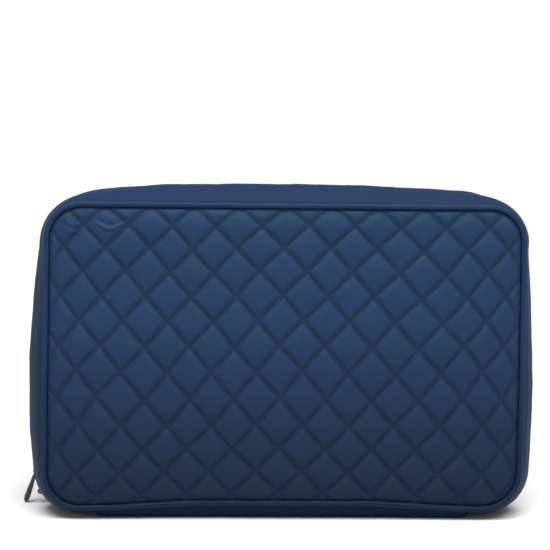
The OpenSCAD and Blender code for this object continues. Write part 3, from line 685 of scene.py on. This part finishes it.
# ------------------------------------------------------------------ base
def base_cloth():
    prof = np.array([(-55.4, 8.0), (-55.0, 6.2), (-53.6, 3.8), (-51.2, 1.7), (-47.6, 0.4), (-43.0, 0.03), (-30, 0.0), (-15, 0.0), (0, 0.0), (15, 0.0), (30, 0.0), (43.0, 0.03), (47.6, 0.4), (51.2, 1.7), (53.6, 3.8), (55.0, 6.2), (55.4, 8.0),
                     (52.6, 8.2), (51.0, 5.8), (47.5, 3.5), (44.0, 2.6), (20, 2.55), (0, 2.55), (-20, 2.55), (-44.0, 2.6), (-47.5, 3.5), (-51.0, 5.8), (-52.6, 8.2)])
    nx = 140
    xs = np.linspace(-END_X + 0.5, END_X - 0.5, nx)
    big = make_noise(301, 10, 30, 90); rip = make_noise(302, 14, 6, 18)
    P = np.zeros((nx, len(prof), 3))
    P[:, :, 0] = xs[:, None]
    P[:, :, 1] = prof[None, :, 0]
    P[:, :, 2] = prof[None, :, 1]
    side = np.zeros(len(prof)); side[[1, 2, 3, 13, 14, 15]] = 1
    w = side[None, :] * (0.35 * big(xs[:, None], prof[None, :, 0]) + 0.12 * rip(xs[:, None], prof[None, :, 0]))
    P[:, :, 1] += np.sign(prof[None, :, 0]) * w
    c = len(prof)
    f = grid_faces(nx, c, close_m=True).tolist()
    f.append(list(range(c))); f.append([(nx - 1) * c + i for i in range(c)])
    P[:, :, 2] = np.maximum(P[:, :, 2], 0.0)
    o = mesh_obj("base_cloth", P.reshape(-1, 3), f, attrs={"crease_shade": np.zeros(nx * c)})
    fix_normals(o)
    m = o.modifiers.new("edge", "BEVEL"); m.width = 0.0009; m.segments = 2; m.limit_method = "ANGLE"; m.angle_limit = 0.9
    return o
o = base_cloth(); wear(o, M_BASE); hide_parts("base_panel"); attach(o, "rear_shell")

def soft_box(name, x0, x1, y0, y1, z0, z1, n=(60, 20), seed=1, amp=0.25):
    X, Y = np.meshgrid(np.linspace(x0, x1, n[0]), np.linspace(y0, y1, n[1]), indexing="ij")
    nz = make_noise(seed, 12, 20, 70)
    ex = np.minimum(np.minimum(X - x0, x1 - X), np.minimum(Y - y0, y1 - Y))
    top = z1 + amp * nz(X, Y) * (1 - np.exp(-ex / 5)) - 0.3 * np.exp(-ex / 1.2)
    a = np.stack([X, Y, top], -1).reshape(-1, 3); b = np.stack([X, Y, np.full_like(X, z0)], -1).reshape(-1, 3)
    f = grid_faces(*n); o0 = n[0] * n[1]; N_, M_ = n
    rim = [i * M_ for i in range(N_)] + [(N_ - 1) * M_ + q for q in range(1, M_)] + [i * M_ + M_ - 1 for i in range(N_ - 2, -1, -1)] + [q for q in range(M_ - 2, 0, -1)]
    R = len(rim)
    faces = f.tolist() + (f[:, ::-1] + o0).tolist() + [[rim[i], rim[(i + 1) % R], o0 + rim[(i + 1) % R], o0 + rim[i]] for i in range(R)]
    o = mesh_obj(name, np.vstack([a, b]), faces)
    fix_normals(o)
    return o
o = soft_box("base_lining_cloth", -138, 138, -44.5, 44.5, 4.3, 5.2, (90, 30), 401, 0.18); wear(o, M_LINING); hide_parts("base_lining"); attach(o, "rear_shell")

# ------------------------------------------------------------------ sliders and pulls
def add_box(bm, lo, hi):
    lo, hi = Vector(lo) * MM, Vector(hi) * MM
    m = Matrix.Translation((lo + hi) / 2) @ Matrix.Diagonal((*(hi - lo), 1))
    return bmesh.ops.create_cube(bm, size=1.0, matrix=m)["verts"]

def outline_prism(bm, pts, lo, hi, axis=0):
    """a prism of the (y, t) outline between lo and hi along r"""
    a = [bm.verts.new(Vector((lo, y, t)) * MM) for y, t in pts]
    b = [bm.verts.new(Vector((hi, y, t)) * MM) for y, t in pts]
    n = len(pts)
    bm.faces.new(a); bm.faces.new(b[::-1])
    for i in range(n):
        bm.faces.new((a[(i + 1) % n], a[i], b[i], b[(i + 1) % n]))

def sweep_flat(bm, path, half_w, thick):
    """a flat bar swept along (r, t) points"""
    path = np.array(path, float)
    tg = np.gradient(path, axis=0); tg /= np.linalg.norm(tg, axis=1)[:, None]
    nr = np.stack([tg[:, 1], -tg[:, 0]], 1)
    rows = []
    for p, n in zip(path, nr):
        rows.append([bm.verts.new(Vector((p[0] + n[0] * a * thick, y, p[1] + n[1] * a * thick)) * MM)
                     for a, y in ((-0.5, -half_w), (0.5, -half_w * 0.8), (0.5, half_w * 0.8), (-0.5, half_w))])
    for i in range(len(rows) - 1):
        for j in range(4):
            k = (j + 1) % 4
            bm.faces.new((rows[i][j], rows[i][k], rows[i + 1][k], rows[i + 1][j]))
    bm.faces.new(rows[0][::-1]); bm.faces.new(rows[-1])

def slider(name, matrix):
    bm = bmesh.new()
    # plates: round nose, slim tail; nose at +t
    nose = [(4.5 * math.sin(a), 1.4 + 4.0 * math.cos(a)) for a in np.linspace(-1.45, 1.45, 13)]
    tail_ = [(3.9, -4.4), (3.3, -5.4), (-3.3, -5.4), (-3.9, -4.4)]
    plate = nose + tail_
    outline_prism(bm, plate, 1.85, 2.85); outline_prism(bm, plate, -2.85, -1.85)
    for s in (-1, 1):
        ys = sorted((s * 3.65, s * 4.35))
        add_box(bm, (1.05, ys[0], -5.1), (1.86, ys[1], 2.6)); add_box(bm, (-1.86, ys[0], -5.1), (-1.05, ys[1], 2.6))
    add_box(bm, (-1.86, -0.45, 2.6), (1.86, 0.45, 5.2))
    arch = [(2.75, -4.6), (4.4, -4.75), (5.7, -4.3), (6.3, -3.3), (6.5, -1.6), (6.5, 0.5), (6.35, 2.2), (5.8, 3.6), (4.7, 4.3), (3.4, 4.5), (2.75, 4.4)]
    sweep_flat(bm, arch, 1.25, 0.95)
    bmesh.ops.recalc_face_normals(bm, faces=bm.faces)
    me = bpy.data.meshes.new(name); bm.to_mesh(me); bm.free()
    me.transform(matrix)
    o = bpy.data.objects.new(name, me); bpy.context.scene.collection.objects.link(o)
    m = o.modifiers.new("bevel", "BEVEL"); m.width = 0.00028; m.segments = 3; m.limit_method = "ANGLE"; m.angle_limit = 0.6
    me.polygons.foreach_set("use_smooth", [True] * len(me.polygons))
    w = o.modifiers.new("wn", "WEIGHTED_NORMAL")
    return wear(o, M_METAL)

def round_bar_loop(name, matrix, length=9.5, half=3.3, r=0.8):
    """wire loop with rounded corners"""
    pts = []
    c = 0.9
    for (cy, cz, a0) in ((half - c, -c, 90), (-half + c, -c, 180), (-half + c, -length + c, 270), (half - c, -length + c, 0)):
        for k in range(6):
            a = math.radians(a0 + 90 * k / 5)
            pts.append((0, cy + c * math.cos(a), cz + c * math.sin(a)))
    P = np.array(pts)
    n = len(P)
    V = []
    for i in range(n):
        tg = P[(i + 1) % n] - P[i - 1]; tg /= np.linalg.norm(tg)
        e1 = np.array([1.0, 0, 0]); e2 = np.cross(tg, e1)
        for j in range(12):
            a = 2 * np.pi * j / 12
            V.append(P[i] + r * (np.cos(a) * e1 + np.sin(a) * e2))
    o = mesh_obj(name, V, grid_faces(n, 12, True, True))
    fix_normals(o); o.data.transform(matrix)
    return wear(o, M_METAL)

def tab(name, matrix, L=24.0):
    """eye and ridged blade, hanging along -z; thickness along x, width along y"""
    bm = bmesh.new()
    # blade: rings of an eight-sided lozenge section
    st = [(-1.6, 2.0, 1.05, 1.0), (-2.6, 2.1, 1.1, 1.15), (-4.5, 2.35, 1.15, 1.4), (-8, 2.7, 1.2, 1.6), (-12, 3.05, 1.4, 1.95), (-16, 3.35, 1.55, 2.2), (-19.5, 3.5, 1.6, 2.32), (-21.6, 3.4, 1.5, 2.2), (-23.1, 2.9, 1.15, 1.7), (-23.9, 2.0, 0.7, 1.0)]
    rows = []
    for z, hy, tx, rx in st:
        z = z * L / 24.0
        sec = [(tx, -hy * 0.92), (rx, -hy * 0.35), (rx, hy * 0.35), (tx, hy * 0.92), (tx * 0.35, hy), (-tx * 0.35, hy), (-tx, hy * 0.92), (-rx, hy * 0.35), (-rx, -hy * 0.35), (-tx, -hy * 0.92), (-tx * 0.35, -hy), (tx * 0.35, -hy)]
        rows.append([bm.verts.new(Vector((x, y, z)) * MM) for x, y in sec])
    k = len(rows[0])
    for i in range(len(rows) - 1):
        for j in range(k):
            bm.faces.new((rows[i][j], rows[i][(j + 1) % k], rows[i + 1][(j + 1) % k], rows[i + 1][j]))
    bm.faces.new(rows[0][::-1]); bm.faces.new(rows[-1])
    # eye: a ring round the bar
    ri, ro, hw = 1.02, 2.25, 2.2
    sec = [(ri, -hw + 0.15), (ri + 0.15, -hw), (ro - 0.35, -hw), (ro, -hw + 0.35), (ro, hw - 0.35), (ro - 0.35, hw), (ri + 0.15, hw), (ri, hw - 0.15)]
    ring = []
    for i in range(32):
        a = 2 * math.pi * i / 32
        ring.append([bm.verts.new(Vector((r * math.cos(a), y, r * math.sin(a))) * MM) for r, y in sec])
    for i in range(32):
        for j in range(len(sec)):
            bm.faces.new((ring[i][j], ring[i][(j + 1) % len(sec)], ring[(i + 1) % 32][(j + 1) % len(sec)], ring[(i + 1) % 32][j]))
    bmesh.ops.recalc_face_normals(bm, faces=bm.faces)
    me = bpy.data.meshes.new(name); bm.to_mesh(me); bm.free()
    me.transform(matrix)
    o = bpy.data.objects.new(name, me); bpy.context.scene.collection.objects.link(o)
    m = o.modifiers.new("bevel", "BEVEL"); m.width = 0.0002; m.segments = 2; m.limit_method = "ANGLE"; m.angle_limit = 0.5
    me.polygons.foreach_set("use_smooth", [True] * len(me.polygons))
    o.modifiers.new("wn", "WEIGHTED_NORMAL")
    return wear(o, M_DARK)

jt = {j["name"]: j for j in frame["record"]["behaviour"]["joints"]}
def at(joint, tilt):
    p = Vector(jt[joint]["pos_m"])
    return Matrix.Translation(p) @ Matrix.Rotation(math.radians(tilt), 4, "Y")
up = Matrix.Translation(Vector((-184, 0, 35)) * MM) @ Matrix.Rotation(math.pi, 4, "Z") @ Matrix.Diagonal((1, 1, -1, 1))
low = Matrix.Translation(Vector((-160, 0, 28)) * MM) @ Matrix.Rotation(math.radians(-18), 4, "Y") @ Matrix.Translation(Vector((-23.7, 0, 0)) * MM) @ Matrix.Rotation(math.pi, 4, "Z")
o = slider("upper_slider_shell", up); fix_normals(o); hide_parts("upper_slider_body"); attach(o, "upper_slider")
o = slider("lower_slider_shell", low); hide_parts("lower_slider_body"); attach(o, "lower_slider")
o = round_bar_loop("upper_link_wire", at("upper_link_swing", 43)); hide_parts("upper_pull_link"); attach(o, "upper_link")
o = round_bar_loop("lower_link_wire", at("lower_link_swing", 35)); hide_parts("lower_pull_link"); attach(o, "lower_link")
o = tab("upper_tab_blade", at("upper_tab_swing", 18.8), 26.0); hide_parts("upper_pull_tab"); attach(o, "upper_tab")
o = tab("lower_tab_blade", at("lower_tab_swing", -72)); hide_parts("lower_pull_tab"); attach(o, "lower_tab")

# ------------------------------------------------------------------ CAD nodes that stay
for node, mat in (("front_foam_sheet", M_FOAM), ("rear_foam_sheet", M_FOAM), 
                  ("front_zip_tape", M_TAPE), ("rear_zip_tape", M_TAPE), ("zip_tail_tape", M_TAPE), ("zip_end_patches", M_BIND), ("base_board", M_BOARD)):
    ob = frame["nodes"][node]
    if isinstance(ob, str):
        ob = bpy.data.objects[ob]
    ob.data.materials.clear(); ob.data.materials.append(mat)

# the lower seams of both panels arch up a little over the base, between its two ends
def arch(o):
    me = o.data
    co = np.empty(len(me.vertices) * 3, np.float32); me.vertices.foreach_get("co", co)
    c = co.reshape(-1, 3) / MM
    x, y, z = c[:, 0], c[:, 1], c[:, 2]
    a = 4.2 * (1 - smoothstep(np.clip((np.abs(x) - 62) / 84, 0, 1)))
    wy = smoothstep(np.clip((np.abs(y) - 38) / 12, 0, 1))
    g = np.where(z < 8.5, np.clip(z / 8.5, 0, 1), np.clip(1 - (z - 8.5) / 70, 0, 1))
    c[:, 2] += a * wy * g
    # and the panels draw in a little towards the top
    c[:, 0] += wy * (0.8 * (z - 100) / 140 - np.sign(x) * 1.5 * np.clip(np.abs(x) / 150, 0, 1) * np.clip((z - 90) / 150, 0, 1))
    me.vertices.foreach_set("co", (c * MM).astype(np.float32).reshape(-1)); me.update()
for tag in ("front", "rear"):
    for part in ("quilt", "quilt_stitching", "piping_cloth", "piping_core", "piping_welt", "lining_cloth", "seam_binding_tape", "gusset_cloth", "gusset_lining_cloth"):
        arch(bpy.data.objects[tag + "_" + part])
arch(bpy.data.objects["base_cloth"])

# ------------------------------------------------------------------ floor, light, camera
bpy.ops.mesh.primitive_plane_add(size=60, location=(0, 0, 0))
floor = bpy.context.object; floor.name = "floor"
fm = bpy.data.materials.new("floor_white"); nt, N, L = nodes_of(fm)
out = N.new("ShaderNodeOutputMaterial"); b = N.new("ShaderNodeBsdfPrincipled"); L.new(b.outputs[0], out.inputs[0])
b.inputs["Base Color"].default_value = (0.70, 0.70, 0.705, 1); b.inputs["Roughness"].default_value = 0.95; b.inputs["Specular IOR Level"].default_value = 0.1
floor.data.materials.append(fm)

w = bpy.data.worlds.new("studio"); bpy.context.scene.world = w
w.use_nodes = True
# a bright studio wall all round at eye level, a dim room above it
nt = w.node_tree
bg = nt.nodes["Background"]; bg.inputs[1].default_value = 1.0
tc = nt.nodes.new("ShaderNodeTexCoord"); sep = nt.nodes.new("ShaderNodeSeparateXYZ"); mr = nt.nodes.new("ShaderNodeMapRange")
mr.interpolation_type = "SMOOTHSTEP"
mr.inputs[1].default_value = 0.16; mr.inputs[2].default_value = 0.45; mr.inputs[3].default_value = 1.02; mr.inputs[4].default_value = 0.22
nt.links.new(tc.outputs["Generated"], sep.inputs[0]); nt.links.new(sep.outputs[2], mr.inputs[0]); nt.links.new(mr.outputs[0], bg.inputs[0])

def area(name, loc, target, size, power, size_y=None):
    d = bpy.data.lights.new(name, "AREA"); d.energy = power; d.size = size
    if size_y:
        d.shape = "RECTANGLE"; d.size_y = size_y
    o = bpy.data.objects.new(name, d); bpy.context.scene.collection.objects.link(o)
    o.location = loc
    o.rotation_euler = (Vector(target) - Vector(loc)).to_track_quat("-Z", "Y").to_euler()
    return o
area("top_softbox", (-0.05, -0.50, 0.95), (0, -0.05, 0.12), 1.0, 9.2, 0.6)
sun_d = bpy.data.lights.new("ceiling", "SUN"); sun_d.energy = 4.1; sun_d.angle = 1.0
sun_o = bpy.data.objects.new("ceiling", sun_d); bpy.context.scene.collection.objects.link(sun_o)
sun_o.rotation_euler = (math.radians(20), math.radians(4), 0)

scene = bpy.context.scene
scene.view_settings.view_transform = "Standard"
scene.view_settings.look = "None"
cam_d = bpy.data.cameras.new("camera"); cam = bpy.data.objects.new("camera", cam_d)
scene.collection.objects.link(cam); scene.camera = cam
ROLL, PITCH, YAW = math.radians(0.6), math.radians(4.95), math.radians(1.85)
cam.location = Vector((-45, -1207, 288)) * MM
fwd = Vector((math.sin(YAW) * math.cos(PITCH), math.cos(YAW) * math.cos(PITCH), -math.sin(PITCH)))
cam.rotation_euler = (fwd.to_track_quat("-Z", "Y").to_matrix() @ Matrix.Rotation(ROLL, 3, "Z")).to_euler()
cam_d.sensor_width = 36; cam_d.lens = 36 * 1530 / 550; cam_d.clip_start = 0.05; cam_d.clip_end = 50

bpy.context.view_layer.update()
